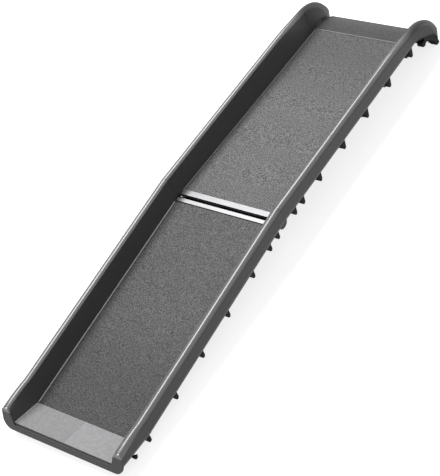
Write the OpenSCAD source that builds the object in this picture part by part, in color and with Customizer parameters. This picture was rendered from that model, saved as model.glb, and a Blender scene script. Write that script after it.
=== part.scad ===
// Folding pet ramp: two moulded halves with raised side rails, hinged under the middle.
// X runs across the ramp, +Y up the ramp towards the hooked end, +Z up, millimetres.
// The open ramp stands on the floor as a shallow arch. It rests on a cross rib near the toe
// and on the tips of the two hooks.

/* [Overall] */
// Width over the outer faces of the side rails
ramp_w = 400; // [390:1:420]
// Width of one rail at its foot
rail_w = 37; // [36:0.5:40]
// Height of the rail top above the tread at the hinge
rail_h = 61; // [55:1:70]
// How much higher the rails of the upper half are where the hooks begin
rail_gain = 17; // [8:1:20]
// Slope of the lower half when the ramp lies open on the floor, degrees
lower_tilt = 5.27; // [4.8:0.01:5.6]
// Slope of the upper half when the ramp lies open on the floor, degrees
upper_tilt = 1.47; // [1.2:0.01:1.7]

/* [Lower half] */
// Distance from the hinge line to the crease of the landing plate
crease_d = 695; // [690:1:700]
// Length of the landing plate along its slope
plate_len = 91; // [88:1:95]
// Upward slope of the landing plate against the lower half, degrees
plate_rise = 18.8; // [17:0.1:20]
// Distance of the bend in the rails from the crease
toe_bend_back = 30; // [26:1:34]
// Upward bend of the rails near the toe, degrees
toe_bend = 9.6; // [8:0.1:11]
// Backward lean of the toe face, degrees
toe_lean = 26.7; // [24:0.1:29]
// Height of the toe face below the edge of the landing plate
toe_drop = 20.6; // [19:0.1:23]

/* [Upper half] */
// Distance from the hinge line to the centre of the hooks' outer bend
hook_d = 715; // [712:1:718]
// Outer radius of the hooks
hook_r = 115; // [112:1:118]
// Angle through which the hooks turn down, degrees
hook_turn = 94; // [92:1:95]
// Distance of the centre of the hooks' mouth past the centre of their outer bend
mouth_past = 30; // [28:1:31]
// Depth of the centre of the hooks' mouth below the tread
mouth_z = 75; // [74:1:77]
// Radius of the hooks' mouth on the outer side, where the rubber lining sits
mouth_r = 85; // [84:1:86]
// Radius of the hooks' mouth in the inner cheek beside the lip
cheek_r = 65; // [63:1:66]
// Distance of the line where the lip begins past the centre of the hooks' outer bend
lip_past = 16; // [14:1:18]
// Radius of the lip's downward curve
lip_r = 177; // [170:1:185]
// Angle of the lip's downward curve, degrees
lip_turn = 32; // [30:2:32]

/* [Sections] */
// Wall thickness of the mouldings
wall = 3; // [2.5:0.5:3]
// Thickness of the moulded deck under the treads
deck_t = 4.5; // [4:0.5:5]
// Thickness of the tread sheets
tread_t = 2.5; // [2:0.5:3]
// Radius of the rounded rail top
rail_r = 12.5; // [11:0.5:13]
// Radius of the rounded lower corner of the rails
side_r = 34; // [32:1:36]
// Height of the raised border beside the treads
border_h = 0.6; // [0.4:0.1:0.8]
// Width of the raised border beside the treads
border_w = 4.8; // [4:0.1:5.5]

/* [Cross ribs] */
// Distances of the two ribs nearest the hinge
rib_near = [45, 86];
// Distance of the first evenly spaced rib
rib_first = 175; // [170:1:178]
// Spacing of the evenly spaced ribs
rib_pitch = 127.3; // [126:0.1:128]
// Number of evenly spaced ribs on each half
rib_count = 5; // [3:1:5]
// Shift of all ribs towards the hooks
rib_shift = 12; // [10:1:13]
// Depth of the rib tips below the tread
rib_tip = 20; // [19.5:0.5:20.5]
// Width of a rib where it leaves the deck
rib_root_w = 20; // [18:1:21]
// Half the width of a rib's grip at its tip
grip_r = 8; // [7:0.5:8]
// Distance of the grips' ends from the outer faces of the rails
grip_in = 10; // [9:0.5:14]

/* [Hinge] */
// Radius of the hinge pin
pin_r = 2.5; // [2:0.25:3]
// Radial clearance of the pin in the knuckles that turn on it
pin_clear = 0.05; // [0.03:0.01:0.08]
// Radial clearance of the pin in the knuckles that hold it
pin_snug = 0.01; // [0.01:0.01:0.02]
// Outer radius of the knuckles
knuckle_r = 6; // [5.5:0.5:6]
// Distance from the ends of the hinge to the feet of the rails
hinge_margin = 13; // [12:1:30]
// Thickness of the hinge leaves
leaf_t = 2.5; // [2:0.5:3]
// Gap between the two bright strips
strip_gap = 8; // [7:0.5:9]
// Width of a bright strip
strip_w = 16; // [14:0.5:17]
// Thickness of the turned-down edge of a strip
strip_t = 1.5; // [1:0.5:2]
// Radius of the round ears beside the seam
ear_r = 18; // [17:0.5:18.5]
// Thickness of the ears
ear_t = 13; // [10:1:13]
// Gap between the two halves at the seam
seam_gap = 0.6; // [0.6:0.1:0.8]

/* [Hidden] */
$fn = 64;
// The ramp's own colours
moulded = [0.27, 0.27, 0.28];
tread_grey = [0.33, 0.33, 0.34];
pad_grey = [0.62, 0.62, 0.62];
rubber = [0.06, 0.06, 0.06];
bright = [0.85, 0.85, 0.87];
steel = [0.6, 0.6, 0.62];

// Height of the hinge line at tread level above the floor
hinge_h = 81;
// Shift that centres the open ramp's length on the origin
mid_y = -20.81;
seam_tilt = (lower_tilt - upper_tilt) / 2;
deck_z = -tread_t - deck_t;
side_z = -8;
outer_x = ramp_w / 2;
foot_x = outer_x - rail_w;
toe_bend_d = crease_d - toe_bend_back;
mouth_d = hook_d + mouth_past;
lip_d = hook_d + lip_past;
grip_x = outer_x - grip_in;
// Depth of the pivot below the tread: just past the rib tips, so the ribs meet when folded
pivot_z = -rib_tip - 0.75;
// Play left around every sheet in its recess
play = 0.2;
tread_x = foot_x - border_w - play;
// Half width of the deck and its borders, which run on into the rails
deck_x = foot_x + wall + 2;
// Width of the border across the end of the upper tread
end_border = 2.6;
// Distance from the crease to the ends of the lower tread and of the landing pads
tread_end = 0.5;
// Amount by which a cutting shape runs past what it cuts
past = 5;
// Half length of the shapes that cut away everything on one side of a plane
far = 400;
rail_tilt = atan(rail_gain / hook_d);
// Slope of the rail's inner face, tangent to the rounded top
core_x = outer_x - rail_r - foot_x;
core_z = rail_h - rail_r;
inner_angle = atan2(core_z, core_x) + asin(rail_r / norm([core_x, core_z]));
// Height of the toe face above the edge of the landing plate, level with the cut rail ends
toe_rail_h = (rail_h + (plate_len * cos(plate_rise) + toe_bend_back) * tan(toe_bend)
    - plate_len * sin(plate_rise)) / (cos(toe_lean) + sin(toe_lean) * tan(toe_bend));
rib_x = grip_x - 14;
// Amount by which the ribs and borders are let into the deck
let_in = 1;
// How much wider a grip's end block is than the rib's root, on each side
block_side = 3;
// Height of the end blocks above the tread, inside the rails
block_top = 25;
rib_list = concat(rib_near, [for (i = [0:rib_count - 1]) rib_first + i * rib_pitch]);
// Distance from the crease to the rib under the landing plate
toe_rib_s = 32;
// Length by which the straight rail and the bent one run into each other
bend_lap = 14;
// Length of the bent rail past the plate, before the toe face cuts it
toe_extra = 45;
// Width of the slot under a rail, and how far a rail's section runs on under the deck
slot_w = 10;
under_deck = 20;
// Toe end cap: thickness, corner radius, and the stiffening bar behind its foot
cap_t = 5;
cap_corner = 28;
bar_t = 14;
bar_h = 9.5;
bar_inset = 3;
pad_end = plate_len - cap_t - 1;
// Inner cheek of a hook, and the rubber lining beside it with its margin to the outer face
cheek_x = foot_x + 12;
lining_t = 15;
pad_margin = 3;
pad_w = outer_x - cheek_x - pad_margin;
// Angles in the hooks' mouth at which the lining begins and ends, and at which the foot ends
lining_from = 10;
lining_to = 70;
foot_to = 82;
// Height of the teeth on the hooks' lining
tooth_h = 5;
// Amount by which the hooks and the bent rail ends are slimmer than the straight rails
slim = 0.2;
// Depth of the lip's down-turned flange below the tread
flange_z = 56;
flange_t = 7;
// Depth of the ears' lowest point below the tread
ear_low = 12.5;
// Distance of the bright strips' ends from the feet of the rails
strip_inset = 2;
// Hinge: knuckles, the gap between two of them, leaf length and the pin's ends
knuckles = 5;
knuckle_w = 2 * (foot_x - hinge_margin) / knuckles;
knuckle_gap = 0.6;
leaf_len = 17;
pin_out = 4;
pin_end = knuckle_w * knuckles / 2 + pin_out;
pin_cap_t = 6;
// Screws of the leaves: distance from the strip's edge, places, sizes
screw_y = 9;
screw_x = [for (k = [-2:2]) k * knuckle_w];
screw_r = 1.75;
screw_head_r = 4;
screw_head_t = 2;
screw_grip = 3.5;
thread_clear = 0.05;
hole_clear = 0.15;

// Frame of the lower half: tread at z 0, hinge line at y 0, toe at negative y
module lower_half() {
    translate([0, mid_y, hinge_h]) rotate([lower_tilt, 0, 0]) children();
}

// Frame of the upper half: tread at z 0, hinge line at y 0, hooks at positive y
module upper_half() {
    translate([0, mid_y, hinge_h]) rotate([-upper_tilt, 0, 0]) children();
}

// Frame of the seam, halfway between the two halves
module seam_frame() {
    translate([0, mid_y, hinge_h]) rotate([seam_tilt, 0, 0]) children();
}

// Frame of the landing plate: its top at z 0, the crease at y 0
module plate_frame() {
    translate([0, -crease_d, 0]) rotate([-plate_rise, 0, 0]) children();
}

// Frame of the toe face: x across, y up the face, z outwards, origin on the plate's front edge
module toe_frame() {
    plate_frame() translate([0, -plate_len, 0]) rotate([90 - toe_lean + plate_rise, 0, 0]) children();
}

module both_sides() {
    children();
    mirror([1, 0, 0]) children();
}

// Everything on the positive side of a plane across y
module beyond(y) {
    translate([-far, y, -far]) cube([2 * far, 3 * far, 2 * far]);
}

// Points on an arc; angles count from the top towards the hooks
function arc(r, from, to, step) = [for (b = [from:step:to]) [r * sin(b), r * cos(b)]];

// Bar along X that follows an arc in flats of 2 degrees
module arc_bar(r0, r1, x0, x1, b0, b1) {
    rotate([90, 0, 90]) translate([0, 0, x0]) linear_extrude(x1 - x0)
        polygon(concat(arc(r1, b0, b1, 2), arc(r0, b1, b0, -2)));
}

// Half plane outside the rail's slanted inner face, moved outwards by inset
module outside_face(inset) {
    translate([foot_x + inset / sin(inner_angle), 0]) rotate(inner_angle - 90)
        translate([0, -far / 2]) square([far, far]);
}

// Section of a side rail: rounded top, upright outer face, rounded lower corner
module rail_section(top, low, corner, inset = 0) {
    intersection() {
        outside_face(inset);
        union() {
            translate([outer_x - rail_r, top - rail_r]) circle(r = rail_r - inset);
            translate([outer_x - corner, low + corner]) circle(r = corner - inset);
            translate([foot_x - under_deck, low + corner])
                square([outer_x - inset - foot_x + under_deck, top - rail_r - low - corner]);
        }
    }
}

// Thin web that carries the rail's inner face down to the deck
module foot_web(inset) {
    translate([foot_x, 0]) rotate(inner_angle - 90) translate([inset, side_z - rail_gain])
        square([wall, rail_gain + 20]);
}

module rail_profile(inset = 0) {
    rail_section(rail_h, side_z, side_r, inset);
    foot_web(inset);
}

// Straight rail from just before y 0 to the given length
module rail(len, inset = 0) {
    translate([0, len, 0]) rotate([90, 0, 0]) linear_extrude(len + past) rail_profile(inset);
}

// Hollow of a rail with the slot that opens it below
module rail_core(from, to, inset = 0) {
    translate([0, to, 0]) rotate([90, 0, 0]) linear_extrude(to - from) {
        rail_section(rail_h, side_z, side_r, wall + inset);
        translate([foot_x + wall, side_z - past]) square([slot_w, wall + 2 * past]);
    }
}

// Cross rib under the deck, centred on y 0
module rib() {
    rotate([90, 0, 90]) translate([0, 0, -rib_x]) linear_extrude(2 * rib_x)
        polygon([
            [-rib_root_w / 2, deck_z + let_in], [-grip_r, grip_r - rib_tip],
            [grip_r, grip_r - rib_tip], [rib_root_w / 2, deck_z + let_in]
        ]);
}

// Rubber grip on a rib: a round-nosed strip with a block at each end
module rib_grip() {
    difference() {
        union() {
            rotate([90, 0, 90]) translate([0, 0, -grip_x]) linear_extrude(2 * grip_x) grip_nose();
            both_sides() rotate([90, 0, 90]) translate([0, 0, rib_x])
                linear_extrude(grip_x - rib_x) grip_block();
        }
        children();
    }
}

module grip_nose() {
    intersection() {
        translate([0, grip_r - rib_tip]) circle(r = grip_r);
        translate([-grip_r, -rib_tip]) square([2 * grip_r, grip_r]);
    }
}

module grip_block() {
    polygon([
        [-rib_root_w / 2 - block_side, block_top], [-grip_r, grip_r - rib_tip],
        [grip_r, grip_r - rib_tip], [rib_root_w / 2 + block_side, block_top]
    ]);
}

// Outer surface of the rails' rounded lower corner, as a round bar along y
module corner_bar(from = -2 * far) {
    both_sides() translate([outer_x - side_r, from, side_z + side_r]) rotate([-90, 0, 0])
        cylinder(r = side_r, h = 4 * far);
}

// Deck of the upper half with its raised borders
module upper_deck(from, to, border_from) {
    translate([-deck_x, from, deck_z]) cube([2 * deck_x, to - from, deck_t]);
    both_sides() translate([foot_x - border_w, border_from, -tread_t])
        cube([border_w + wall, to - border_from, tread_t + border_h]);
}

// Side line of the lower half at a depth below the tread: at the crease, and past the plate's front
function crease_point(depth) = [crease_d + depth * tan(plate_rise / 2), -depth];
function front_point(depth) =
    [crease_d, 0] + (plate_len + under_deck) * [cos(plate_rise), sin(plate_rise)]
    + depth * [sin(plate_rise), -cos(plate_rise)];

// Layer of the lower half's deck between two depths, bent up at the crease
module bent_layer(from, top, low, x0, x1) {
    rotate([90, 0, 90]) translate([0, 0, x0]) linear_extrude(x1 - x0)
        polygon([
            [from, -top], crease_point(top), front_point(top),
            front_point(low), crease_point(low), [from, -low]
        ]);
}

module lower_deck(from, border_from) {
    bent_layer(from, tread_t, tread_t + deck_t, -deck_x, deck_x);
    both_sides() translate([foot_x - border_w, border_from, -tread_t - let_in])
        cube([deck_x - foot_x + border_w, crease_d - border_from, tread_t + let_in + border_h]);
}

module screw_holes() {
    for (x = screw_x)
        translate([x, strip_gap / 2 + screw_y, deck_z - 1])
            cylinder(r = screw_r + thread_clear, h = screw_grip + 1);
}

// Rails of the lower half; y is mirrored so that the toe lies at negative y
module lower_rails() {
    mirror([0, 1, 0]) {
        difference() {
            rail(toe_bend_d + bend_lap);
            rail_core(past + wall, toe_bend_d + bend_lap + 1);
        }
        toe_bend_frame() translate([0, -bend_lap, 0]) difference() {
            translate([0, past, 0]) rail(plate_len + toe_extra, slim);
            rail_core(-1, plate_len + toe_extra + past + 1, slim);
            translate([-far, -far / 2, side_z - 0.01 - far]) cube([2 * far, far, far]);
        }
    }
}

module toe_bend_frame() {
    translate([0, toe_bend_d, rail_h]) rotate([toe_bend, 0, 0]) translate([0, 0, -rail_h]) children();
}

module lower_body() {
    both_sides() difference() {
        lower_rails();
        translate([-far, -2 * far, -far]) cube([2 * far, 3 * far, far + side_z - 0.01]);
    }
    mirror([0, 1, 0]) lower_deck(strip_gap / 2 + strip_t, strip_gap / 2 + strip_w + 2 * play);
    for (d = rib_list) translate([0, rib_shift - d, 0]) rib();
    plate_frame() translate([0, -toe_rib_s, 0]) rib();
}

module lower_shell() {
    color(moulded) {
        difference() {
            lower_half() difference() {
                lower_body();
                toe_frame() translate([-far, -far, -cap_t]) cube([2 * far, 2 * far, far]);
                mirror([0, 1, 0]) screw_holes();
            }
            seam_frame() beyond(-seam_gap / 2);
        }
        seam_frame() ears(0);
    }
}

// Round ears beside the seam; grow widens them into the pocket that clears them
module ears(grow) {
    both_sides() translate([grip_x - ear_t - grow, 0, ear_r - ear_low]) rotate([0, 90, 0])
        cylinder(r = ear_r + grow, h = ear_t + 2 * grow);
}

// U-shaped end piece that closes the rail ends and stiffens the toe
module toe_end_cap() {
    color(moulded) lower_half() toe_frame() {
        translate([0, 0, -cap_t]) linear_extrude(cap_t) {
            both_sides() rail_section(toe_rail_h, -toe_drop, cap_corner);
            translate([cap_corner - outer_x, -toe_drop])
                square([2 * (outer_x - cap_corner), toe_drop - tread_t - play]);
        }
        translate([0, 0, -bar_t]) linear_extrude(bar_t - cap_t)
            translate([bar_inset - foot_x, -toe_drop]) square([2 * (foot_x - bar_inset), bar_h]);
    }
}

module lower_tread() {
    color(tread_grey) lower_half()
        translate([-tread_x, tread_end - crease_d, -tread_t])
        cube([2 * tread_x, crease_d - tread_end - strip_gap / 2 - strip_w - 2 * play, tread_t]);
}

// Half width between the rails at the height of the landing plate, less the play
function pad_x(along) =
    foot_x + (rail_h - (rail_h - along * sin(plate_rise)) * cos(toe_bend)
    - (toe_bend_back + along * cos(plate_rise)) * sin(toe_bend) - tread_t) / tan(inner_angle) - play;

module landing_pad() {
    plate_frame() translate([0, 0, -tread_t]) linear_extrude(tread_t)
        polygon([
            [play, -tread_end], [pad_x(tread_end), -tread_end],
            [pad_x(pad_end), -pad_end], [play, -pad_end]
        ]);
}

module landing_pad_right() {
    color(pad_grey) lower_half() landing_pad();
}

module landing_pad_left() {
    color(pad_grey) lower_half() mirror([1, 0, 0]) landing_pad();
}

// Bright strip over the edge of the deck beside the seam
module edge_strip() {
    translate([0, strip_gap / 2, 0]) {
        translate([strip_inset - foot_x, 0, -tread_t])
            cube([2 * (foot_x - strip_inset), strip_w, tread_t + border_h]);
        translate([strip_inset - foot_x, 0, deck_z])
            cube([2 * (foot_x - strip_inset), strip_t, deck_t]);
    }
}

module lower_edge_strip() {
    color(bright) lower_half() mirror([0, 1, 0]) edge_strip();
}

module upper_edge_strip() {
    color(bright) upper_half() edge_strip();
}

// Hinge leaf under the deck; the webs at the knuckles reach down to the pin
module leaf_plate() {
    difference() {
        translate([-knuckle_w * knuckles / 2, strip_gap / 2, deck_z - leaf_t])
            cube([knuckle_w * knuckles, leaf_len, leaf_t]);
        for (x = screw_x) translate([x, strip_gap / 2 + screw_y, deck_z - leaf_t - 1])
            cylinder(r = screw_r + hole_clear, h = leaf_t + 2);
    }
}

// Knuckles of one leaf, every second place along the pin
module leaf_knuckles(first, side) {
    for (k = [first:2:knuckles - 1])
        translate([knuckle_w * (k - knuckles / 2) + knuckle_gap / 2, 0, pivot_z]) {
            rotate([0, 90, 0]) cylinder(r = knuckle_r, h = knuckle_w - knuckle_gap);
            translate([0, side > 0 ? knuckle_r - leaf_t : -knuckle_r, 0])
                cube([knuckle_w - knuckle_gap, leaf_t, -pivot_z + deck_z - leaf_t / 2]);
        }
}

module pin_bore(clear) {
    translate([-outer_x, 0, pivot_z]) rotate([0, 90, 0]) cylinder(r = pin_r + clear, h = ramp_w);
}

module lower_hinge_leaf() {
    color(steel) difference() {
        union() {
            lower_half() mirror([0, 1, 0]) leaf_plate();
            seam_frame() leaf_knuckles(0, -1);
        }
        seam_frame() pin_bore(pin_snug);
    }
}

module upper_hinge_leaf() {
    color(steel) difference() {
        union() {
            upper_half() leaf_plate();
            seam_frame() leaf_knuckles(1, 1);
        }
        seam_frame() pin_bore(pin_clear);
    }
}

module leaf_screws() {
    for (x = screw_x) translate([x, strip_gap / 2 + screw_y, deck_z - leaf_t]) {
        cylinder(r = screw_r, h = leaf_t + screw_grip - 0.2);
        translate([0, 0, -screw_head_t]) cylinder(r = screw_head_r, h = screw_head_t);
    }
}

module lower_leaf_screws() {
    color(steel) lower_half() mirror([0, 1, 0]) leaf_screws();
}

module upper_leaf_screws() {
    color(steel) upper_half() leaf_screws();
}

module hinge_pin() {
    color(steel) seam_frame() translate([-pin_end, 0, pivot_z]) rotate([0, 90, 0])
        cylinder(r = pin_r, h = 2 * pin_end);
}

// Push-on caps at both ends of the pin
module hinge_pin_caps() {
    color(steel) seam_frame() both_sides()
        translate([pin_end - pin_out - knuckle_gap / 2, 0, pivot_z]) rotate([0, 90, 0]) difference() {
            cylinder(r = knuckle_r - 0.5, h = pin_cap_t);
            translate([0, 0, -1]) cylinder(r = pin_r, h = pin_out + knuckle_gap / 2 + 1);
        }
}

// Keeps only what lies above the floor, which flattens the tips that stand on it
module above_floor() {
    intersection() {
        children();
        translate([-far, -3 * far, 0]) cube([2 * far, 6 * far, far]);
    }
}

module lower_rib_grips() {
    color(rubber) above_floor() lower_half() difference() {
        for (d = rib_list) translate([0, rib_shift - d, 0]) rib_grip() corner_bar();
        mirror([0, 1, 0]) toe_bend_frame() corner_bar(-bend_lap - past);
    }
}

module toe_rib_grip() {
    color(rubber) above_floor() lower_half() difference() {
        plate_frame() translate([0, -toe_rib_s, 0]) rib_grip();
        mirror([0, 1, 0]) toe_bend_frame() corner_bar();
        corner_bar();
    }
}

// Rail of the upper half, tilted so that it gains height towards the hook at its end
module upper_rails() {
    difference() {
        rotate([rail_tilt, 0, 0]) {
            difference() {
                rail(hook_d);
                rail_core(past + wall, hook_d - wall);
            }
            hook_sweep();
        }
        translate([-far, -past, -far]) cube([2 * far, hook_d - past, far + side_z - 0.01]);
    }
}

// Hook at the rail's end, a hair slimmer than the rail that it grows out of
module hook_sweep() {
    translate([0, hook_d, rail_h - hook_r]) rotate([0, 90, 0]) rotate([0, 0, 180 - hook_turn])
        rotate_extrude(angle = hook_turn + 2) translate([hook_r - rail_h, 0]) mirror([1, 0]) rotate(90)
        rail_profile(slim);
}

// Mouth of the hooks, with flats of 10 degrees; the outer side is cut wider for the lining
module mouth() {
    translate([0, mouth_d, -mouth_z]) rotate([90, 0, 90]) {
        linear_extrude(outer_x + 1) polygon(arc(cheek_r, 0, 350, 10));
        translate([0, 0, cheek_x]) linear_extrude(outer_x) polygon(arc(mouth_r, 0, 350, 10));
    }
}

// Curved lip between the hooks with its down-turned flange
module lip() {
    translate([0, lip_d, -lip_r]) {
        arc_bar(lip_r - tread_t - deck_t, lip_r - tread_t, -deck_x, deck_x, 0, lip_turn);
        both_sides() arc_bar(lip_r - tread_t - 1, lip_r + border_h, foot_x - border_w, foot_x + wall, 0,
            lip_turn);
        arc_bar(lip_r - tread_t - 1, lip_r + border_h, -foot_x, foot_x, lip_turn - 2, lip_turn);
    }
    translate([-foot_x, lip_d - end_border, deck_z]) cube([2 * foot_x, end_border, -deck_z + border_h]);
    translate([-deck_x, lip_d + lip_r * sin(lip_turn) - flange_t, -flange_z])
        cube([2 * deck_x, flange_t, flange_z - lip_r + lip_r * cos(lip_turn) - tread_t]);
}

module upper_body() {
    both_sides() difference() {
        upper_rails();
        mouth();
    }
    upper_deck(strip_gap / 2 + strip_t, lip_d, strip_gap / 2 + strip_w + 2 * play);
    lip();
    for (d = rib_list) translate([0, rib_shift + d, 0]) rib();
}

module upper_shell() {
    color(moulded) difference() {
        upper_half() difference() {
            upper_body();
            screw_holes();
        }
        seam_frame() mirror([0, 1, 0]) beyond(-seam_gap / 2);
        seam_frame() ears(seam_gap);
    }
}

module upper_tread() {
    color(tread_grey) upper_half()
        translate([-tread_x, strip_gap / 2 + strip_w + 2 * play, -tread_t])
        cube([2 * tread_x, lip_d - end_border - strip_gap / 2 - strip_w - 3 * play, tread_t]);
}

module lip_tread() {
    color(tread_grey) upper_half() translate([0, lip_d, -lip_r])
        arc_bar(lip_r - tread_t, lip_r, -tread_x, tread_x, 0, lip_turn - 2);
}

module upper_rib_grips() {
    color(rubber) upper_half() for (d = rib_list)
        translate([0, rib_shift + d, 0]) rib_grip()
        translate([0, -rib_shift - d, 0]) rotate([rail_tilt, 0, 0]) corner_bar();
}

// Rubber lining of a hook's mouth with its grip teeth
module hook_pad() {
    translate([cheek_x, mouth_d, -mouth_z]) rotate([90, 0, 90]) linear_extrude(pad_w)
        polygon(concat(
            arc(mouth_r, lining_from, lining_to, 10),
            [for (b = [lining_to - 1:-0.5:lining_from + 1])
                (mouth_r - lining_t - tooth_h * pow(sin(b * 15), 4)) * [sin(b), cos(b)]]
        ));
}

module hook_pad_right() {
    color(rubber) upper_half() hook_pad();
}

module hook_pad_left() {
    color(rubber) upper_half() mirror([1, 0, 0]) hook_pad();
}

// Rubber foot that carries the lining on to the floor, flat where it stands
module hook_foot() {
    translate([cheek_x, mouth_d, -mouth_z]) rotate([90, 0, 90]) linear_extrude(pad_w)
        polygon([
            for (p = [[mouth_r - lining_t, lining_to], [mouth_r, lining_to], [mouth_r, foot_to],
                [mouth_r - lining_t, foot_to]])
                p[0] * [sin(p[1]), cos(p[1])]
        ]);
}

module hook_foot_right() {
    color(rubber) above_floor() upper_half() hook_foot();
}

module hook_foot_left() {
    color(rubber) above_floor() upper_half() mirror([1, 0, 0]) hook_foot();
}

lower_shell();
toe_end_cap();
lower_tread();
landing_pad_left();
landing_pad_right();
lower_edge_strip();
lower_hinge_leaf();
lower_leaf_screws();
hinge_pin();
hinge_pin_caps();
lower_rib_grips();
toe_rib_grip();
upper_shell();
upper_tread();
lip_tread();
upper_edge_strip();
upper_hinge_leaf();
upper_leaf_screws();
upper_rib_grips();
hook_pad_left();
hook_pad_right();
hook_foot_left();
hook_foot_right();
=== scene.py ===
# %% [markdown]
# # A folding pet ramp, seen from above and from the right
#
# The ramp has two moulded plastic halves with raised side rails, a gritty tread, bright strips
# beside the middle seam, two pale pads at the toe and two hooks at the top end. Its exact shapes
# come from the CAD model. This lesson gives them their finishes, softens the edges that a mould or
# a press would never leave sharp, adds the small marks and fittings that catch the light, and sets
# the camera, the floor and the lamps.

# %% Start from the CAD model
import math

import bmesh
import bpy
from mathutils import Euler, Matrix, Vector


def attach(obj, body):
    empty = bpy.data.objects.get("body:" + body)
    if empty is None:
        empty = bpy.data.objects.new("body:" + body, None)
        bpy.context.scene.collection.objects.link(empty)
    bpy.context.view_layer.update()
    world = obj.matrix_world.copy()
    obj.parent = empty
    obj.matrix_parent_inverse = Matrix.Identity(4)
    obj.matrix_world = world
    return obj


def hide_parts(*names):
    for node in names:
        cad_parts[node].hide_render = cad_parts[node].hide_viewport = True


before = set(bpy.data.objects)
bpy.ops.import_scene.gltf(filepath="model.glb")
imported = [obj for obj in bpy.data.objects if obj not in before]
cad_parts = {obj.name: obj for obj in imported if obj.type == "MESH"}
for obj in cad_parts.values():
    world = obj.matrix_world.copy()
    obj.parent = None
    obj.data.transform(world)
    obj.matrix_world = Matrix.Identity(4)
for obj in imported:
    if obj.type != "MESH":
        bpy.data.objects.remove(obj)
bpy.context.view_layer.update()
MM = 0.001

# %% [markdown]
# ## Where the two halves lie
#
# The open ramp is a shallow arch. Each half has its own frame: the tread is at height 0, the hinge
# line at y 0. A piece that is drawn flat in a half's frame is then turned and lifted to its place,
# so its object can stay at the origin, unturned. The sizes and the tilts, in degrees, are the same
# as in the CAD.

# %% The frames of the two halves
HINGE_HEIGHT = 81 * MM
HINGE_SHIFT = -20.81 * MM
LOWER_TILT = 5.27
UPPER_TILT = 1.47
FOOT = 326 * MM / 2
RAIL_HEIGHT = 61 * MM
RAIL_TILT = 1.362
TOE_BEND = 9.6
TOE_BEND_START = 665 * MM
HOOK_START = 715 * MM
HOOK_RADIUS = 115 * MM
PLATE_FRONT = (781.14 * MM, 29.33 * MM)
TOE_LEAN = 26.7


def half_frame(degrees):
    """Matrix from a half's own frame to the place where that half lies open."""
    lift = Matrix.Translation((0, HINGE_SHIFT, HINGE_HEIGHT))
    return lift @ Matrix.Rotation(math.radians(degrees), 4, "X")


LOWER = half_frame(LOWER_TILT)
UPPER = half_frame(-UPPER_TILT)
SEAM = half_frame((LOWER_TILT - UPPER_TILT) / 2)


def turned(frame_matrix, degrees, y=0, z=0):
    """A frame turned about a line across the ramp."""
    turn = Matrix.Rotation(math.radians(degrees), 4, "X")
    return frame_matrix @ Matrix.Translation((0, y, z)) @ turn @ Matrix.Translation((0, 0, -z))


UPPER_RAIL = turned(UPPER, RAIL_TILT)
LOWER_BEND = turned(LOWER, -TOE_BEND, -TOE_BEND_START, RAIL_HEIGHT)
TOE_FACE = turned(LOWER @ Matrix.Translation((0, -PLATE_FRONT[0], PLATE_FRONT[1])), 90 - TOE_LEAN)
print("hinge line at", [round(value, 4) for value in SEAM.translation])

# %% [markdown]
# ## The camera
#
# The picture is taken from the right of the toe end and from high above, with a long lens. The
# place, the turn and the lens were found by fitting the ramp's straight edges to the picture.

# %% Camera
PICTURE = (440, 476)
FOCAL_PIXELS = 1441.74
camera = bpy.data.objects.new("camera", bpy.data.cameras.new("camera"))
bpy.context.scene.collection.objects.link(camera)
camera.location = (2.1997, -1.84534, 2.67097)
camera.rotation_euler = Euler([math.radians(turn) for turn in (44.1587, 17.5254, 34.0278)])
camera.data.sensor_width = 36
camera.data.lens = FOCAL_PIXELS / max(PICTURE) * camera.data.sensor_width
camera.data.clip_start = 0.05
camera.data.clip_end = 100
bpy.context.scene.camera = camera
print("lens", round(camera.data.lens, 2), "mm")

# %% [markdown]
# ## Lamps
#
# The object is photographed on white. One big soft lamp hangs high on the left of the top end and
# gives the bright line along the rounded rail tops. A weak one beyond the toe lights what faces
# the camera.

# %% Lamps


def soft_lamp(name, place, target, size, radiance):
    """Rectangular lamp whose surface has the given radiance, so a bigger one gives more light."""
    light = bpy.data.lights.new(name, "AREA")
    light.shape = "RECTANGLE"
    light.size, light.size_y = size
    light.energy = radiance * math.pi * size[0] * size[1]
    lamp = bpy.data.objects.new(name, light)
    bpy.context.scene.collection.objects.link(lamp)
    lamp.location = place
    lamp.rotation_euler = (Vector(target) - Vector(place)).to_track_quat("-Z", "Y").to_euler()


soft_lamp("overhead_lamp", (-1.23, 1.2, 2.6), (-0.1, 1.2, 0), (3.4, 1.5), 6.0)
soft_lamp("front_lamp", (0.6, -3.0, 1.6), (0, -0.4, 0.1), (1.4, 1.0), 1.0)
bpy.context.scene.view_settings.view_transform = "Standard"
print("lamps:", len(bpy.data.lights))

# %% [markdown]
# ## Writing finishes as sums
#
# A finish is easier to read as a sum than as a picture of boxes and wires. The small class below
# wraps one socket, and arithmetic on it adds the Math nodes. Any other node comes from one method,
# which takes its type, its settings and what its sockets hold.

# %% The wire and the finish


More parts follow.
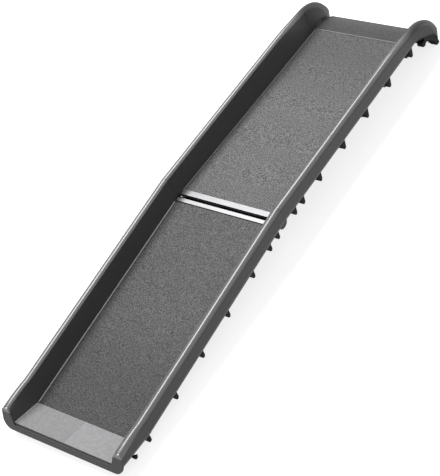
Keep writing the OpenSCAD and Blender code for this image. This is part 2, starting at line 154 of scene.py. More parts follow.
class Wire:
    """One value inside a material; arithmetic on it adds Math nodes."""

    def __init__(self, tree, socket):
        self.tree = tree
        self.socket = socket

    def math(self, operation, *values):
        node = self.tree.nodes.new("ShaderNodeMath")
        node.operation = operation
        for socket, value in zip(node.inputs, values):
            feed(self.tree, socket, value)
        return Wire(self.tree, node.outputs[0])

    def __add__(self, other):
        return self.math("ADD", self, other)

    def __radd__(self, other):
        return self.math("ADD", other, self)

    def __sub__(self, other):
        return self.math("SUBTRACT", self, other)

    def __rsub__(self, other):
        return self.math("SUBTRACT", other, self)

    def __mul__(self, other):
        return self.math("MULTIPLY", self, other)

    def __rmul__(self, other):
        return self.math("MULTIPLY", other, self)

    def __truediv__(self, other):
        return self.math("DIVIDE", self, other)

    def __pow__(self, other):
        return self.math("POWER", self, other)

    def __abs__(self):
        return self.math("ABSOLUTE", self)

    def between(self, low, high):
        """0 at low, 1 at high, smooth in between."""
        node = self.tree.nodes.new("ShaderNodeMapRange")
        node.interpolation_type = "SMOOTHSTEP"
        for name, value in (("Value", self), ("From Min", low), ("From Max", high)):
            feed(self.tree, node.inputs[name], value)
        return Wire(self.tree, node.outputs[0])


def feed(tree, socket, value):
    """Put a number, a colour or a wire into a socket."""
    if isinstance(value, Wire):
        tree.links.new(value.socket, socket)
    elif isinstance(value, (tuple, list)) and len(value) == 3 and socket.type == "RGBA":
        socket.default_value = (*value, 1)
    else:
        socket.default_value = value


class Finish:
    """A material under construction, with its shader and the object coordinates."""

    def __init__(self, name, **constants):
        self.material = bpy.data.materials.new(name)
        self.material.use_nodes = True
        self.tree = self.material.node_tree
        self.shader = self.tree.nodes["Principled BSDF"]
        self.place = self.node("TexCoord", output="Object")
        self.set(**constants)

    def node(self, kind, settings=None, output=0, **values):
        node = self.tree.nodes.new("ShaderNode" + kind)
        for name, value in (settings or {}).items():
            setattr(node, name, value)
        for name, value in values.items():
            feed(self.tree, node.inputs[name.replace("_", " ")], value)
        return Wire(self.tree, node.outputs[output])

    def set(self, **values):
        for name, value in values.items():
            feed(self.tree, self.shader.inputs[name.replace("_", " ")], value)

    def axis(self, letter):
        return self.node("SeparateXYZ", Vector=self.place, output=letter)

    def vector(self, operation, first, second, output=0):
        node = self.tree.nodes.new("ShaderNodeVectorMath")
        node.operation = operation
        feed(self.tree, node.inputs[0], first)
        feed(self.tree, node.inputs[1], second)
        return Wire(self.tree, node.outputs[output])

    def height_in(self, half, axis=(0, 0, 1)):
        """Distance along an axis of a half's frame, upwards from its tread if no axis is named."""
        normal = half.to_3x3() @ Vector(axis)
        start = normal.dot(half.translation)
        return self.vector("DOT_PRODUCT", self.place, normal, "Value") - start

    def stretched(self, scale):
        """The object coordinates, stretched: a noise on them is longest where scale is smallest."""
        return self.node("Mapping", Vector=self.place, Scale=scale)

    def noise(self, size, detail=2.0, vector=None, roughness=0.5):
        """Soft noise from 0 to 1 whose blobs are about size metres across."""
        settings = {"Scale": 1 / size, "Detail": detail, "Roughness": roughness}
        return self.node("TexNoise", Vector=vector or self.place, **settings)

    def grains(self, size, output="Distance"):
        """Cells about size metres across: the distance to the nearest grain."""
        return self.node("TexVoronoi", output=output, Vector=self.place, Scale=1 / size)

    def mixed(self, factor, first, second):
        """A colour between two colours."""
        node = self.tree.nodes.new("ShaderNodeMix")
        node.data_type = "RGBA"
        feed(self.tree, node.inputs[0], factor)
        feed(self.tree, node.inputs[6], first)
        feed(self.tree, node.inputs[7], second)
        return Wire(self.tree, node.outputs[2])

    def bump(self, height, depth, strength=1.0, normal=None):
        """Normal of a surface whose height varies by depth metres."""
        values = {"Height": height, "Distance": depth, "Strength": strength}
        if normal:
            values["Normal"] = normal
        return self.node("Bump", **values)

    def rounded(self, radius):
        """Normal of a surface whose edges are rounded by radius metres."""
        return self.node("Bevel", {"samples": 6}, Radius=radius)


def grey(level):
    """A grey with the slightest touch of blue."""
    return (level, level, level * 1.02)


print("finish tools ready, mid grey is", grey(0.18))

# %% [markdown]
# ## Sky and floor
#
# The sky gives the ramp a faint even light. A ray that comes from the camera, from a glossy
# surface or through something clear sees it as plain white instead. The floor is a pale sheet with
# a very faint unevenness. The same rays see it a little lighter than the lamps make it, so it reads
# as white and still keeps the soft shadow.

# %% Sky and floor
SKY_LIGHT = 0.3
FLOOR_LIFT = 0.78
FLOOR_REACH = 15


def looked_at(tree):
    """1 for a ray that shows the background: from the camera, a gloss or a clear thing."""
    path = tree.nodes.new("ShaderNodeLightPath")
    names = ("Is Camera Ray", "Is Glossy Ray", "Is Transmission Ray")
    camera_ray, glossy, clear = [Wire(tree, path.outputs[name]) for name in names]
    return camera_ray.math("MAXIMUM", camera_ray, glossy.math("MAXIMUM", glossy, clear))


world = bpy.data.worlds.new("pale_sky")
bpy.context.scene.world = world
world.use_nodes = True
sky = world.node_tree.nodes["Background"]
sky.inputs["Color"].default_value = (1, 1, 1, 1)
strength = looked_at(world.node_tree) * (1 - SKY_LIGHT) + SKY_LIGHT
feed(world.node_tree, sky.inputs["Strength"], strength)

floor_mesh = bpy.data.meshes.new("floor")
floor_shape = bmesh.new()
bmesh.ops.create_grid(floor_shape, x_segments=1, y_segments=1, size=FLOOR_REACH)
floor_shape.to_mesh(floor_mesh)
floor_shape.free()
floor = bpy.data.objects.new("floor", floor_mesh)
bpy.context.scene.collection.objects.link(floor)
sheet = Finish("pale_floor", Roughness=0.9, Specular_IOR_Level=0.1, Emission_Strength=1)
sheet.set(Base_Color=sheet.mixed(sheet.noise(0.4), (0.71, 0.71, 0.71), (0.73, 0.73, 0.73)))
sheet.set(Emission_Color=sheet.mixed(looked_at(sheet.tree) * FLOOR_LIFT, (0, 0, 0), (1, 1, 1)))
floor_mesh.materials.append(sheet.material)
print("floor and sky made")

# %% [markdown]
# ## Moulded plastic
#
# The halves are moulded in dark grey plastic with a fine satin grain, as a spark-eroded mould
# leaves it. The grain is far too fine to model, so it is a bump from two noises. Handling polishes
# the plastic in patches, which changes the roughness, and long faint scuffs run along the ramp.
# The hooks are painted darker than the rails, as painted shade, and their coat is weaker. The gap
# of the seam is painted near black as painted shade. A real moulding has no sharp edge, so the
# shading rounds every edge by a millimetre.
#
# Hands polish the tops of the rails. A mask finds these rounded tops from their height over the
# tread, and a clear coat is strong there and weak elsewhere. The mask follows the rails where
# later steps curve them down at the toe and move them at the hooks, so those steps' sizes are
# named here already.

# %% Moulded plastic
CREST_DEPTH = 9 * MM
CREST_SHADE_LEVEL = 0.06
CREST_COAT = 0.62
NOSE_DROP = 13.0 * MM
NOSE_LENGTH = 94.0 * MM
NOSE_WIDER = 3 * MM
HOOK_SHIFT_REACH = (595 * MM, 760 * MM)
HOOK_SHIFT_FORWARD = 10.4 * MM
HOOK_SHIFT_DOWN = 8.8 * MM
HOOK_OVERLAP = 4 * MM
HOOK_SHADE_REACH = (660 * MM, 735 * MM)
GAP_HALF_WIDTH = (9 * MM, 12 * MM)
GAP_HALF_LENGTH = (164 * MM, 166 * MM)
GAP_TOP = (-1.2 * MM, 0.1 * MM)
GAP_SHADE_GREY = grey(0.008)


def crest(height, top):
    """1 on the rounded top of a rail, 0 below it."""
    return height.between(top - CREST_DEPTH, top - CREST_DEPTH / 3)


def lower_crest(finish):
    """The rail tops of the lower half, with their drop towards the toe face."""
    straight = crest(finish.height_in(LOWER), RAIL_HEIGHT)
    near_face = finish.height_in(TOE_FACE) / NOSE_LENGTH + 1
    drop = near_face.math("MAXIMUM", near_face, 0) ** 2 * NOSE_DROP
    wider = near_face.between(0, 0.8) * NOSE_WIDER
    bent = crest(finish.height_in(LOWER_BEND) + drop + wider, RAIL_HEIGHT)
    return straight.math("MAXIMUM", straight, near_face.between(0.3, 0.5)) * bent


def upper_crest(finish):
    """The rail tops of the upper half, with the outer side of the hooks where it was moved."""
    drop = finish.height_in(UPPER, (0, 1, 0)).between(*HOOK_SHIFT_REACH) * HOOK_SHIFT_DOWN
    straight = crest(finish.height_in(UPPER_RAIL) + drop, RAIL_HEIGHT)
    centre = UPPER_RAIL @ Vector((0, HOOK_START, RAIL_HEIGHT - HOOK_RADIUS))
    out = finish.vector("SUBTRACT", finish.place, centre)
    flat = finish.vector("MULTIPLY", out, Vector((0, 1, 1)))
    radius = finish.vector("LENGTH", flat, Vector(), "Value")
    along = finish.height_in(UPPER_RAIL, (0, 1, 0))
    past_start = along.between(HOOK_START - HOOK_OVERLAP, HOOK_START)
    return straight.math("MAXIMUM", straight, crest(radius + drop, HOOK_RADIUS) * past_start)


def in_gap(finish):
    """1 down in the gap of the seam, between the two halves."""
    near_seam = 1 - abs(finish.height_in(SEAM, (0, 1, 0))).between(*GAP_HALF_WIDTH)
    inside = 1 - abs(finish.axis("X")).between(*GAP_HALF_LENGTH)
    below_top = 1 - finish.height_in(SEAM).between(*GAP_TOP)
    return near_seam * inside * below_top


def moulded_plastic(name, level, rail_tops=None, edge=1.0 * MM, shaded_hooks=False):
    """Satin plastic; rail_tops is the mask of the bright tops, and the hook option paints the hooks
    darker as painted shade and weakens their coat.
    """
    finish = Finish(name, Specular_IOR_Level=0.15, Coat_IOR=2.3, Coat_Roughness=0.22)
    cloud = finish.noise(0.09, 3)
    scuff = finish.noise(0.004, 4, finish.stretched((1, 0.03, 1)), 0.6).between(0.62, 0.74)
    dust = finish.noise(0.012, 5, roughness=0.65).between(0.45, 0.8)
    base = finish.mixed(cloud, grey(level * 0.9), grey(level * 1.1))
    dusty = finish.mixed(dust * 0.18, base, grey(level * 1.6))
    base = finish.mixed(scuff * 0.2, dusty, grey(level * 1.9))
    shine = 0.08 - scuff * 0.03 - dust * 0.03
    if rail_tops:
        top = rail_tops(finish)
        # Painted shade: the rail tops are painted a little darker, to offset their coat's stronger
        # reflection.
        base = finish.mixed(top * (0.6 + cloud * 0.4), base, grey(CREST_SHADE_LEVEL))
        shine = shine + top * CREST_COAT
    if shaded_hooks:
        # Painted shade: the hooks are painted darker towards their ends.
        hook = finish.height_in(UPPER_RAIL, (0, 1, 0)).between(*HOOK_SHADE_REACH)
        base = finish.mixed(hook * 0.6, base, grey(level * 0.35))
        shine = shine * (1 - hook * 0.75)
    # Painted shade: the plastic down in the gap of the seam is painted near black.
    gap_shade = in_gap(finish)
    base = finish.mixed(gap_shade, base, GAP_SHADE_GREY)
    shine = shine * (1 - gap_shade)
    finish.set(Base_Color=base, Coat_Weight=shine)
    finish.set(Roughness=0.42 + cloud * 0.1 + scuff * 0.12)
    grain = finish.noise(0.7 * MM, 2) * 0.6 + finish.noise(1.9 * MM, 1) * 0.4
    finish.set(Normal=finish.bump(grain, 0.05 * MM, 0.35, finish.rounded(edge)))
    return finish.material


lower_plastic = moulded_plastic("lower_plastic", 0.08, lower_crest)
upper_plastic = moulded_plastic("upper_plastic", 0.078, upper_crest, shaded_hooks=True)
cap_plastic = moulded_plastic("cap_plastic", 0.078, lower_crest)
for plastic in (lower_plastic, upper_plastic, cap_plastic):
    print(plastic.name, len(plastic.node_tree.nodes), "shader nodes")

# %% [markdown]
# ## Grit on the treads
#
# The treads are sheets with sand-like grit bonded to them, so paws and claws grip. Each grain is
# nearly two millimetres across, and grains gather in clumps. Light grains, dark gaps between them
# and a bump from the same cells make the sparkle; a slow cloud keeps the big sheet from looking
# even. The grit is painted darker beside the rails and towards both ends, as painted shade.

# %% Grit
GRAIN = 1.9 * MM
CLUMP = 3.6 * MM
GRIT_DEPTH = 0.5 * MM
RAIL_SHADE_REACH = (132 * MM, 164 * MM)
LOWER_END_SHADE = (-350 * MM, -660 * MM, 0.28)
UPPER_END_SHADE = (350 * MM, 660 * MM, 0.42)


def bonded_grit(name, dark, light, end_shade=None):
    """Grit between two greys; the last argument gives where painted shade towards an end starts,
    where it is full and how much.
    """
    finish = Finish(name, Specular_IOR_Level=0.4)
    grain = 1 - finish.grains(GRAIN).between(0.15, 0.75)
    tone = finish.node("SeparateXYZ", Vector=finish.grains(GRAIN, output="Color"), output="X")
    clump = finish.noise(CLUMP, 2, roughness=0.72).between(0.41, 0.59)
    cloud = finish.noise(0.12, 2)
    shade = grain * (0.3 + tone * 0.7) * 0.5 + clump * 0.5
    # Painted shade: the grit is darker beside the rails.
    rail_shade = abs(finish.axis("X")).between(*RAIL_SHADE_REACH) * 0.45
    shade = shade * (0.9 + cloud * 0.2) * (1 - rail_shade)
    # Painted shade: the grit is darker towards the end of the tread.
    if end_shade:
        start, end, share = end_shade
        shade = shade * (1 - finish.axis("Y").between(start, end) * share)
    finish.set(Base_Color=finish.mixed(shade, dark, light))
    finish.set(Roughness=0.75 - tone * 0.25)
    finish.set(Normal=finish.bump(grain * (0.5 + tone * 0.5) + clump * 0.6, GRIT_DEPTH, 0.8))
    return finish.material


# Painted light: the upper tread is painted lighter than the lower one, for the way the lamps light
# the two halves.
lower_grit = bonded_grit("lower_grit", grey(0.03), grey(0.275), LOWER_END_SHADE)
upper_grit = bonded_grit("upper_grit", grey(0.045), grey(0.355), UPPER_END_SHADE)
lip_grit = bonded_grit("lip_grit", grey(0.03), grey(0.115))
print("grains from the middle of a tread to its side:", round(FOOT / GRAIN))

# %% [markdown]
# ## Pale pads, bright strips, steel and rubber
#
# The landing pads are pale mottled rubber; the left one is painted darker than the right as painted
# shade. The strips beside the seam are bright satin metal with fine streaks along them, drawn out
# by stretching a noise; their left ends are painted darker as a painted reflection of the dark left
# rail. The hinge under the deck is plain plated steel with a soft brushed look, painted near black
# as painted shade in the gap of the seam, and the grips and linings are dull black rubber with fine
# pores.

# %% Pads, strips, steel, rubber
PAD_SPECK = 2.4 * MM
STRIP_WALL_SHADE = (-0.1 * MM, 0.4 * MM)
STRIP_RAIL_REFLECTION = (-157 * MM, -128 * MM)
METAL_EDGE = 0.4 * MM
RUBBER_EDGE = 0.8 * MM


def pale_rubber(name, level):
    finish = Finish(name, Specular_IOR_Level=0.35)
    mottle = finish.noise(0.011, 5, roughness=0.7).between(0.3, 0.7)
    speck = finish.grains(PAD_SPECK).between(0.1, 0.6)
    base = finish.mixed(mottle, grey(level * 0.82), grey(level * 1.14))
    finish.set(Base_Color=finish.mixed(speck * 0.5, base, grey(level * 0.66)))
    finish.set(Roughness=0.62 + mottle * 0.2)
    finish.set(Normal=finish.bump(speck, 0.25 * MM, 0.6, finish.rounded(RUBBER_EDGE)))
    return finish.material


def streaked_metal(name, level, roughness, half=None):
    """Streaked metal; with a half, a painted shade on its wall and a painted reflection at its left
    end.
    """
    finish = Finish(name, Metallic=1.0)
    streak = finish.noise(1.2 * MM, 4, finish.stretched((0.02, 1, 1)), 0.7)
    spot = finish.noise(0.03, 3)
    base = finish.mixed(streak.between(0.3, 0.7), grey(level * 0.86), grey(level))
    if half:
        # Painted shade: below the tread the strip's wall is painted near black.
        top = finish.height_in(half).between(*STRIP_WALL_SHADE)
        # Painted reflection: the left end is painted darker, standing for the dark left rail
        # reflected there.
        rail_reflection = 1 - finish.axis("X").between(*STRIP_RAIL_REFLECTION)
        base = finish.mixed(rail_reflection * 0.75, base, grey(0.08))
        base = finish.mixed(top, grey(0.006), base)
    else:
        # Painted shade: the steel down in the gap of the seam is painted near black.
        base = finish.mixed(in_gap(finish), base, GAP_SHADE_GREY)
    finish.set(Base_Color=base)
    finish.set(Roughness=roughness + streak * 0.14 + spot * 0.08)
    finish.set(Normal=finish.bump(streak, 0.05 * MM, 0.5, finish.rounded(METAL_EDGE)))
    return finish.material


def black_rubber(name, level=0.018):
    finish = Finish(name, Specular_IOR_Level=0.15)
    bloom = finish.noise(0.02, 4, roughness=0.6)
    pores = finish.grains(1.1 * MM).between(0.0, 0.5)
    finish.set(Base_Color=finish.mixed(bloom, grey(level * 0.7), grey(level * 1.7)))
    finish.set(Roughness=0.55 + bloom * 0.25)
    finish.set(Normal=finish.bump(pores, 0.1 * MM, 0.5, finish.rounded(RUBBER_EDGE)))
    return finish.material


# The two pads are one rubber; the left one is painted darker than the right as painted shade.
pad_rubber_painted_darker = pale_rubber("pad_rubber_painted_darker", 0.44)
pad_rubber_painted_lighter = pale_rubber("pad_rubber_painted_lighter", 0.515)
lower_strip_metal = streaked_metal("lower_strip_metal", 0.3, 0.36, LOWER)
upper_strip_metal = streaked_metal("upper_strip_metal", 0.3, 0.36, UPPER)
hinge_steel = streaked_metal("hinge_steel", 0.55, 0.32)
grip_rubber = black_rubber("grip_rubber")
lining_rubber = black_rubber("lining_rubber", 0.014)
print("finishes:", len(bpy.data.materials))

# %% [markdown]
# ## Dressing the CAD nodes
#
# A node whose shape is right only needs its finish. The table below says which node gets which.

# %% Finishes of the CAD nodes
NODE_FINISH = {
    "lower_shell": lower_plastic,
    "upper_shell": upper_plastic,
    "toe_end_cap": cap_plastic,
    "lower_tread": lower_grit,
    "upper_tread": upper_grit,
    "lip_tread": lip_grit,
    "landing_pad_left": pad_rubber_painted_darker,
    "landing_pad_right": pad_rubber_painted_lighter,
    "lower_edge_strip": lower_strip_metal,
    "upper_edge_strip": upper_strip_metal,
    "lower_hinge_leaf": hinge_steel,
    "upper_hinge_leaf": hinge_steel,
    "lower_leaf_screws": hinge_steel,
    "upper_leaf_screws": hinge_steel,
    "hinge_pin": hinge_steel,
    "hinge_pin_caps": hinge_steel,
    "lower_rib_grips": grip_rubber,
    "upper_rib_grips": grip_rubber,
    "toe_rib_grip": grip_rubber,
    "hook_pad_left": lining_rubber,
    "hook_pad_right": lining_rubber,
    "hook_foot_left": lining_rubber,
    "hook_foot_right": lining_rubber,
}
for node, finish in NODE_FINISH.items():
    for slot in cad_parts[node].material_slots:
        slot.material = finish
print("finished nodes:", len(NODE_FINISH))

# %% [markdown]
# ## Tools for shapes
#
# A CAD node's mesh is loose triangles, so a shape that starts from one is a copy whose twin points
# are merged. Every shape is drawn in the frame of its half and turned into place at the end, where
# it gets its finish, its smooth shading and its body. Weighted normals keep big flat faces flat.
# The inner walls of the rails meet their rounded tops at so small an angle that the shading would
# still bend into the walls, so the edges around them are marked as sharp.

# %% Tools for shapes
TWIN_DISTANCE = 2e-6
CUT_DISTANCE = 1e-6
WALL_FACES_ACROSS = 0.96
WALL_FACES_UP = (0.2, 0.26)


def merged_copy(node, half):
    """A CAD node's mesh in its half's own frame, with the loose triangles joined."""
    shape = bmesh.new()
    shape.from_mesh(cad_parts[node].data)
    bmesh.ops.transform(shape, matrix=half.inverted(), verts=shape.verts)
    bmesh.ops.remove_doubles(shape, verts=shape.verts, dist=TWIN_DISTANCE)
    return shape


def cut_across(shape, point, normal):
    """Add edges where a plane crosses the shape."""
    geometry = shape.verts[:] + shape.edges[:] + shape.faces[:]
    bmesh.ops.bisect_plane(
        shape, geom=geometry, plane_co=point, plane_no=normal, dist=CUT_DISTANCE
    )


def round_edges(shape, edges, radius, segments, clamp=False):
    """Bevel edges to a round profile."""
    bmesh.ops.bevel(
        shape, geom=edges, offset=radius, offset_type="OFFSET", affect="EDGES",
        segments=segments, profile=0.5, material=-1, clamp_overlap=clamp,
    )


def draw_out(shape, ring, reach):
    """Close a ring of points to a face and draw it out along a vector into a solid."""
    face = shape.faces.new([shape.verts.new(point) for point in ring])
    grown = bmesh.ops.extrude_face_region(shape, geom=[face])["geom"]
    moved = [item for item in grown if isinstance(item, bmesh.types.BMVert)]
    bmesh.ops.translate(shape, vec=reach, verts=moved)
    bmesh.ops.recalc_face_normals(shape, faces=shape.faces)


def keep_walls_flat(mesh):
    """Mark the edges around the rails' big inner walls as sharp, so no shading bends into them."""
    least, most = WALL_FACES_UP
    walls = {
        face.index for face in mesh.polygons
        if abs(face.normal.x) > WALL_FACES_ACROSS and least < face.normal.z < most
    }
    sides = {}
    for face in mesh.polygons:
        for key in face.edge_keys:
            sides.setdefault(key, []).append(face.index in walls)
    for edge in mesh.edges:
        if any(sides[edge.key]) and not all(sides[edge.key]):
            edge.use_edge_sharp = True


def finished_piece(name, shape, half, body, material, smooth=25):
    """Make a shape an object in its place, smooth up to an angle, riding on a body."""
    bmesh.ops.transform(shape, matrix=half, verts=shape.verts)
    mesh = bpy.data.meshes.new(name)
    shape.to_mesh(mesh)
    shape.free()
    for face in mesh.polygons:
        face.use_smooth = True
    mesh.set_sharp_from_angle(angle=math.radians(smooth))
    keep_walls_flat(mesh)
    mesh.materials.append(material)
    piece = bpy.data.objects.new(name, mesh)
    bpy.context.scene.collection.objects.link(piece)
    even = piece.modifiers.new("flats_stay_flat", "WEIGHTED_NORMAL")
    even.weight = 100
    even.keep_sharp = True
    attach(piece, body)
    print(name, len(mesh.polygons), "faces")
    return piece


# %% [markdown]
# ## The rounded ends of the rails at the toe
#
# On the real ramp the tops of the rails curve down over their last few centimetres and meet the
# toe face well below the line they came in on. The CAD keeps them straight to the face. Copies of
# both toe nodes are sliced across near the end, and their points are slid down along the toe face,
# more towards the face and more towards the top, so the round section stays round. How much a
# point slides depends on its height between two lines that both rise behind the face.

# %% Rail ends
NOSE_SLICES = 14
FACE_TOP = 53.0 * MM
FOOT_RISE = 0.139
HEIGHT_GAIN = 0.168
SHELL_SMOOTH = 18.5


def toe_place(point):
    """Distance behind the toe face and height along it, of a point in the lower half's frame."""
    lean = math.radians(TOE_LEAN)
    out = -point.y - PLATE_FRONT[0]
    up = point.z - PLATE_FRONT[1]
    behind = -(out * math.cos(lean) + up * math.sin(lean))
    return behind, up * math.cos(lean) - out * math.sin(lean)


def curve_rail_ends(shape):
    """Slide the rails' ends down along the toe face, from nothing at the foot to NOSE_DROP."""
    lean = math.radians(TOE_LEAN)
    normal = Vector((0, -math.cos(lean), math.sin(lean)))
    slide = Vector((0, -math.sin(lean), -math.cos(lean)))
    front = Vector((0, -PLATE_FRONT[0], PLATE_FRONT[1]))
    for step in range(1, NOSE_SLICES + 1):
        behind = NOSE_LENGTH * step / NOSE_SLICES
        cut_across(shape, front - normal * behind, normal)
    bmesh.ops.triangulate(shape, faces=shape.faces)
    for vertex in shape.verts:
        behind, high = toe_place(vertex.co)
        if behind < NOSE_LENGTH:
            share = (high - FOOT_RISE * behind) / (FACE_TOP + HEIGHT_GAIN * behind)
            share = min(max(share, 0), 1)
            ease = (1 - max(behind, 0) / NOSE_LENGTH) ** 2
            vertex.co += slide * NOSE_DROP * ease * share


lower_shape = merged_copy("lower_shell", LOWER)
curve_rail_ends(lower_shape)
lower_moulding = finished_piece(
    "lower_moulding", lower_shape, LOWER, "lower_half", lower_plastic,
    SHELL_SMOOTH,
)
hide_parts("lower_shell")
face_shape = merged_copy("toe_end_cap", LOWER)
curve_rail_ends(face_shape)
toe_face = finished_piece(
    "toe_face", face_shape, LOWER, "lower_half", cap_plastic
)
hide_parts("toe_end_cap")

# %% [markdown]
# ## The outer side of the hooks
#
# In the picture the outer side of each hook lies a little further forward and lower than in the
# CAD. A copy of the upper shell is sliced across near the hooks, and its points are moved there:
# fully on the outer side, not at all in the mouth, where the lining sits, and not at the tips.

# %% Hooks
HOOK_SLICES = 9
MOUTH_TO_OUTSIDE = (88 * MM, 108 * MM)
TIP_TO_BACK = (-60 * MM, -15 * MM)
BESIDE_DECK = FOOT + 0.2 * MM


def smooth_step(value, low, high):
    """0 below low, 1 above high, smooth in between."""
    share = min(max((value - low) / (high - low), 0), 1)
    return share * share * (3 - 2 * share)


def reshape_hooks(shape):
    """Move the outer side of both hooks forward and down."""
    start = HOOK_SHIFT_REACH[0]
    for step in range(HOOK_SLICES):
        place = start + (HOOK_START - start) * step / (HOOK_SLICES - 1)
        cut_across(shape, Vector((0, place, 0)), Vector((0, 1, 0)))
    bmesh.ops.triangulate(shape, faces=shape.faces)
    to_rail = UPPER_RAIL.inverted() @ UPPER
    for vertex in shape.verts:
        if abs(vertex.co.x) > BESIDE_DECK and vertex.co.y > start:
            point = to_rail @ vertex.co
            past_start = max(point.y - HOOK_START, 0)
            radius = math.hypot(past_start, point.z - RAIL_HEIGHT + HOOK_RADIUS)
            weight = smooth_step(vertex.co.y, *HOOK_SHIFT_REACH)
            weight *= smooth_step(radius, *MOUTH_TO_OUTSIDE) * smooth_step(point.z, *TIP_TO_BACK)
            vertex.co.y += HOOK_SHIFT_FORWARD * weight
            vertex.co.z -= HOOK_SHIFT_DOWN * weight


upper_shape = merged_copy("upper_shell", UPPER)
reshape_hooks(upper_shape)
upper_moulding = finished_piece(
    "upper_moulding", upper_shape, UPPER, "upper_half", upper_plastic,
    SHELL_SMOOTH,
)
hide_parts("upper_shell")

# %% [markdown]
# ## Rounder grips on the cross ribs
#
# The rubber grips end in blunt black noses under the rails. The CAD solids have the right places
# but wedge-shaped ends. Each grip is one loose part of a merged copy: its end blocks are drawn in
# towards the middle of the rib, their tips rise a little towards the hooks, and a bevel rounds
# every edge as moulded rubber has it.

# %% Grips
GRIP_END = 160 * MM
GRIP_SLIM = 0.74
GRIP_ROUND = 5.5 * MM
GRIP_FLAT = math.radians(1)
GRIP_SHARP = math.radians(35)
LAST_RIB = 690 * MM
TIP_RISE = 0.5


def loose_parts(shape):
    """The separate solids of a mesh, each a list of its vertices."""
    left = set(shape.verts)
    parts = []
    while left:
        reached = {left.pop()}
        edge_of_part = list(reached)
        while edge_of_part:
            vertex = edge_of_part.pop()
            near = {edge.other_vert(vertex) for edge in vertex.link_edges} - reached
            reached |= near
            edge_of_part.extend(near)
        left -= reached
        parts.append(sorted(reached, key=lambda vertex: vertex.index))
    return parts


def rounded_grips(name, node, half, body, rise=0):
    """Copies of a half's grips; rise is the share of their height that the last tips lose."""
    shape = merged_copy(node, half)
    shape.verts.index_update()
    for part in loose_parts(shape):
        centre = (min(vertex.co.y for vertex in part) + max(vertex.co.y for vertex in part)) / 2
        for vertex in part:
            if abs(vertex.co.x) > GRIP_END:
                vertex.co.y = centre + (vertex.co.y - centre) * GRIP_SLIM
                if vertex.co.z < 0:
                    vertex.co.z *= 1 - rise * (centre / LAST_RIB) ** 2
    bmesh.ops.dissolve_limit(shape, angle_limit=GRIP_FLAT, verts=shape.verts, edges=shape.edges)
    sharp = [
        edge for edge in shape.edges
        if len(edge.link_faces) == 2 and edge.calc_face_angle() > GRIP_SHARP
    ]
    round_edges(shape, sharp, GRIP_ROUND, 4, clamp=True)
    bmesh.ops.recalc_face_normals(shape, faces=shape.faces)
    piece = finished_piece(name, shape, half, body, grip_rubber, 40)
    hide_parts(node)


rounded_grips("lower_grips", "lower_rib_grips", LOWER, "lower_half")
rounded_grips("upper_grips", "upper_rib_grips", UPPER, "upper_half", TIP_RISE)
rounded_grips("toe_grip", "toe_rib_grip", LOWER, "lower_half")

# %% [markdown]
# ## The bright strips beside the seam
#
# Each strip is folded sheet metal: a flat top that laps over the edge of the tread, a rounded nose
# beside the gap, and a wall that turns down into it. The profile is a ring of points, extruded
# across the ramp, with its edges bevelled. Only the top keeps the metal's colour; the wall is
# painted near black as painted shade of the gap.
# The names below are heights over the tread and lengths along the ramp, in millimetres.

# %% Bright strips
STRIP_END = 161 * MM
STRIP_EDGE = 0.5 * MM
STRIP_TOP = 0.7
STRIP_LAP = 0.08
STRIP_SEAT = -2.4
STRIP_FOOT = -7
STRIP_WALL = 1.5
STRIP_OVERLAP = 1.0
RECESS_END = 20.2
LOWER_STRIP = (4.2, 16.2)
UPPER_STRIP = (8.0, 26.2)


def folded_strip(name, node, half, body, side, reach, material):
    """Strip over a reach from the hinge line; side is 1 uphill, -1 downhill."""
    near, far = reach
    seat = min(far - STRIP_OVERLAP, RECESS_END)
    wall = near + STRIP_WALL
    flat_top = [(near, STRIP_TOP), (far, STRIP_TOP), (far, STRIP_LAP), (seat, STRIP_LAP)]
    below = [(seat, STRIP_SEAT), (wall, STRIP_SEAT), (wall, STRIP_FOOT), (near, STRIP_FOOT)]
    shape = bmesh.new()
    ring = [(-STRIP_END, side * y * MM, z * MM) for y, z in flat_top + below]
    draw_out(shape, ring, (2 * STRIP_END, 0, 0))
    above = (STRIP_TOP + STRIP_LAP) / 2 * MM
    top = [edge for edge in shape.edges if all(vertex.co.z > above for vertex in edge.verts)]
    round_edges(shape, top, STRIP_EDGE, 3)
    piece = finished_piece(name, shape, half, body, material, 50)
    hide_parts(node)


folded_strip(
    "lower_strip", "lower_edge_strip", LOWER, "lower_half", -1, LOWER_STRIP, lower_strip_metal
)
folded_strip(
    "upper_strip", "upper_edge_strip", UPPER, "upper_half", 1, UPPER_STRIP, upper_strip_metal
)

# %% [markdown]
# ## The flap under the seam
#
# The gap of the real ramp is dark. A dark rubber flap is put under it as painted shade, a sheet
# that stands in for the shade there; the real ramp may have none. It hangs from the upper hinge
# leaf just behind the knuckles, and its ends reach under the ears of the rails. It turns about the
# pin with the upper half and stays outside the circle of the knuckles.

# %% Seam flap
FLAP_FRONT = 7.6 * MM
FLAP_THICK = 1.4 * MM
FLAP_EDGE = 0.5 * MM
FLAP_TOP = -9.2
FLAP_STEP = -13.4
FLAP_FOOT = -20.0
FLAP_NARROW = 160
FLAP_WIDE = 171


def seam_shade_flap(name):
    """Flat flap across the ramp, wider below its step; its outline is in millimetres."""
    right = [(FLAP_NARROW, FLAP_TOP), (FLAP_NARROW, FLAP_STEP)]
    right += [(FLAP_WIDE, FLAP_STEP), (FLAP_WIDE, FLAP_FOOT)]
    left = [(-x, z) for x, z in reversed(right)]
    shape = bmesh.new()
    ring = [(x * MM, FLAP_FRONT, z * MM) for x, z in right + left]
    draw_out(shape, ring, (0, FLAP_THICK, 0))
    below = (FLAP_STEP + FLAP_FOOT) / 2 * MM
    lips = [edge for edge in shape.edges if all(vertex.co.z < below for vertex in edge.verts)]
    round_edges(shape, lips, FLAP_EDGE, 3)
    finished_piece(name, shape, UPPER, "upper_half", lining_rubber, 50)


seam_shade_flap("seam_shade_flap")

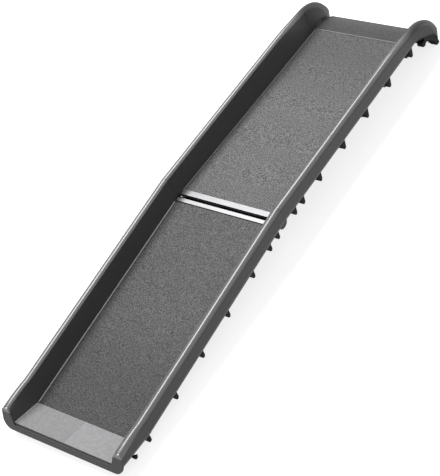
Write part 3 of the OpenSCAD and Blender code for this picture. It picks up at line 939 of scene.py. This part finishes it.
# %% [markdown]
# ## Nubs in the mouths of the hooks
#
# A blunt rubber nub hangs from the lining where each hook's mouth begins, so the ramp can't slip
# off an edge. It is a short round bar across the hook with rounded ends, let into the lining.

# %% Hook nubs
NUB_PLACE = (757.5 * MM, -10.5 * MM)
NUB_FROM_MIDDLE = 186 * MM
NUB_RADIUS = 10 * MM
NUB_LENGTH = 20 * MM
NUB_EDGE = 3 * MM


def hook_nub(name, side):
    """Bar across a hook; side is 1 on the right, -1 on the left."""
    shape = bmesh.new()
    bmesh.ops.create_cone(
        shape, cap_ends=True, segments=28, radius1=NUB_RADIUS, radius2=NUB_RADIUS, depth=NUB_LENGTH
    )
    rims = [
        edge for edge in shape.edges
        if abs(edge.verts[0].co.z - edge.verts[1].co.z) < TWIN_DISTANCE
    ]
    round_edges(shape, rims, NUB_EDGE, 4)
    quarter_turn = Matrix.Rotation(math.pi / 2, 4, "Y")
    place = Matrix.Translation((side * NUB_FROM_MIDDLE, *NUB_PLACE)) @ quarter_turn
    bmesh.ops.transform(shape, matrix=place, verts=shape.verts)
    finished_piece(name, shape, UPPER, "upper_half", lining_rubber, 40)


hook_nub("hook_nub_left", -1)
hook_nub("hook_nub_right", 1)

# %% [markdown]
# ## Beads along the feet of the rails
#
# Where the tread meets the rails the mould leaves a thin rounded bead, and another one crosses the
# ramp where the lip begins. They are thin, and their plastic is painted far paler than the rest, as
# a painted highlight on their round tops, so they draw light lines. Each one is a small circle
# drawn out along its line, with its ends pulled in. A line runs between two points, each given in
# millimetres: across, along the ramp from the hinge line, and up. Beside a rail, the first number
# counts outwards from the foot of its wall.

# %% Beads
BEAD_RADIUS = 1.5 * MM
LOWER_BEADS = [
    ((-1.8, -21, 0.6), (-1.8, -694, 0.6)),
    ((-1.4, -696, 0.6), (2.0, -776, 28)),
]
UPPER_BEADS = [((-1.8, 21, 0.6), (-6.0, 728, 0.6))]
LIP_BEAD = ((-154, 729.7, 0.6), (154, 729.7, 0.6))


def bead(shape, start, end):
    """Round bar from start to end, closed and slightly tapered at both ends."""
    start, end = Vector(start), Vector(end)
    along = end - start
    taper = along.normalized() * BEAD_RADIUS
    turn = Vector((0, 0, 1)).rotation_difference(along).to_matrix().to_4x4()
    tip = bmesh.ops.create_circle(shape, cap_ends=False, segments=12, radius=BEAD_RADIUS * 0.5)
    ring = tip["verts"]
    bmesh.ops.transform(shape, matrix=Matrix.Translation(start) @ turn, verts=ring)
    edges = list({edge for vertex in ring for edge in vertex.link_edges})
    bmesh.ops.edgeloop_fill(shape, edges=edges)
    middle = start
    for place, size in ((start + taper, 2.0), (end - taper, 1.0), (end, 0.5)):
        grown = bmesh.ops.extrude_edge_only(shape, edges=edges)["geom"]
        ring = [item for item in grown if isinstance(item, bmesh.types.BMVert)]
        edges = [item for item in grown if isinstance(item, bmesh.types.BMEdge)]
        edges = [edge for edge in edges if edge.verts[0] in ring and edge.verts[1] in ring]
        bmesh.ops.translate(shape, vec=place - middle, verts=ring)
        for vertex in ring:
            vertex.co = place + (vertex.co - place) * size
        middle = place
    bmesh.ops.edgeloop_fill(shape, edges=edges)


def beside_rails(lines):
    """Lines beside the left rail, then the same ones beside the right rail, in metres."""
    return [
        [(side * (FOOT + out * MM), along * MM, up * MM) for out, along, up in line]
        for side in (-1, 1) for line in lines
    ]


def half_beads(name, half, body, lines, level):
    """One piece from all the beads of a half, in a plastic whose pale level is a painted highlight.
    """
    shape = bmesh.new()
    for start, end in lines:
        bead(shape, start, end)
    bmesh.ops.recalc_face_normals(shape, faces=shape.faces)
    plastic = moulded_plastic(name + "_plastic", level, edge=0.2 * MM)
    finished_piece(name, shape, half, body, plastic, 40)


lip_line = [[number * MM for number in point] for point in LIP_BEAD]
# Painted highlights: the beads' pale levels stand for light on their tops, paler on the lower half.
half_beads("lower_foot_beads", LOWER, "lower_half", beside_rails(LOWER_BEADS), 0.62)
half_beads("upper_foot_beads", UPPER, "upper_half", beside_rails(UPPER_BEADS), 0.3)
half_beads("lip_bead", UPPER, "upper_half", [lip_line], 0.3)
